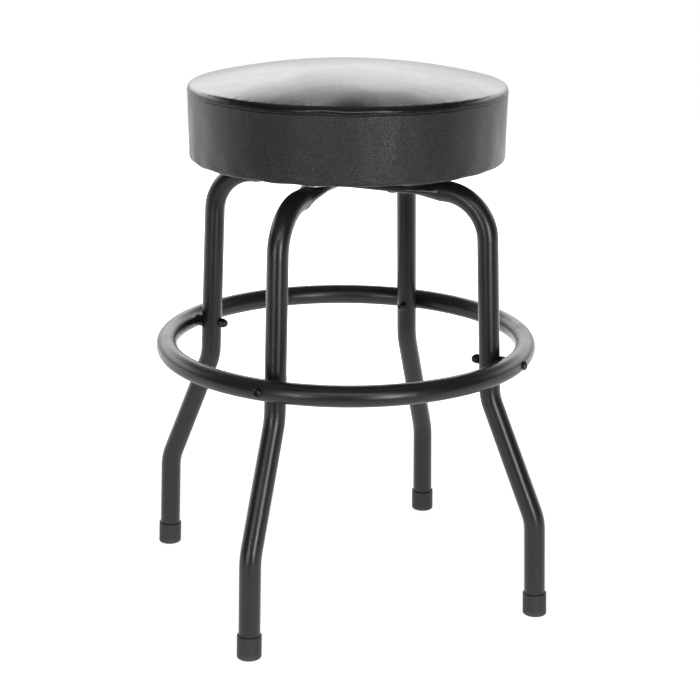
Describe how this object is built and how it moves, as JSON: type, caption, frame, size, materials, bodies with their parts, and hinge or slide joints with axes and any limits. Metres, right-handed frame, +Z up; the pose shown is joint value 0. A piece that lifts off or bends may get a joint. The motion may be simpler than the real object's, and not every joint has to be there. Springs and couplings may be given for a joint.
{
  "type": "swivel bar stool",
  "caption": "Backless bar stool with a round padded vinyl seat on a ball-bearing swivel, crossed bent-tube legs, a foot ring and rubber foot caps.",
  "frame": {"origin": "on the floor, on the swivel's axis", "axes": "+Z up along the swivel's axis; the four legs stand on the diagonals, and the front-left leg is towards -X -Y"},
  "size_m": [0.435, 0.435, 0.6121],
  "materials": {
    "seat_vinyl": "black grained vinyl, semi-gloss",
    "foam": "cut polyurethane foam",
    "plywood": "raw plywood",
    "dust_cover_fabric": "spun-bonded cloth",
    "bright_steel": "zinc plated",
    "plate_steel": "black painted pressed steel",
    "cage_steel": "plain strip",
    "ball_steel": "polished",
    "frame_paint": "black semi-gloss powder coat",
    "black_fastener": "black oxide, slight gloss",
    "foot_rubber": "matt black rubber"
  },
  "bodies": {
    "base": {"swivel_bottom_plate": "plate_steel", "swivel_rivet": "bright_steel", "upper_leg_frame": "frame_paint", "lower_leg_frame": "frame_paint", "frame_spacers": "bright_steel", "frame_bolts": "black_fastener", "frame_washers": "black_fastener", "frame_nuts": "black_fastener", "foot_ring": "frame_paint", "ring_bolts": "black_fastener", "ring_spacers": "black_fastener", "ring_cap_nuts": "black_fastener", "front_left_foot_cap": "foot_rubber", "front_right_foot_cap": "foot_rubber", "back_right_foot_cap": "foot_rubber", "back_left_foot_cap": "foot_rubber"},
    "ball_cage": {"ball_cage": "cage_steel", "bearing_balls": "ball_steel"},
    "seat": {"seat_top_cover": "seat_vinyl", "seat_side_band": "seat_vinyl", "seat_welt": "seat_vinyl", "crown_foam": "foam", "base_foam": "foam", "seat_board": "plywood", "dust_cover": "dust_cover_fabric", "cover_staples": "bright_steel", "board_tee_nuts": "bright_steel", "top_plate_bolts": "bright_steel", "swivel_top_plate": "plate_steel"}
  },
  "joints": [
    {"name": "seat_swivel", "type": "hinge", "parent": "base", "child": "seat", "pos_m": [0, 0, 0.5], "axis": [0, 0, 1], "continuous": true},
    {"name": "cage_turn", "type": "hinge", "parent": "base", "child": "ball_cage", "pos_m": [0, 0, 0.5], "axis": [0, 0, 1], "continuous": true}
  ],
  "couplings": [
    {"joint": "cage_turn", "follows": "seat_swivel", "ratio": 0.5}
  ]
}
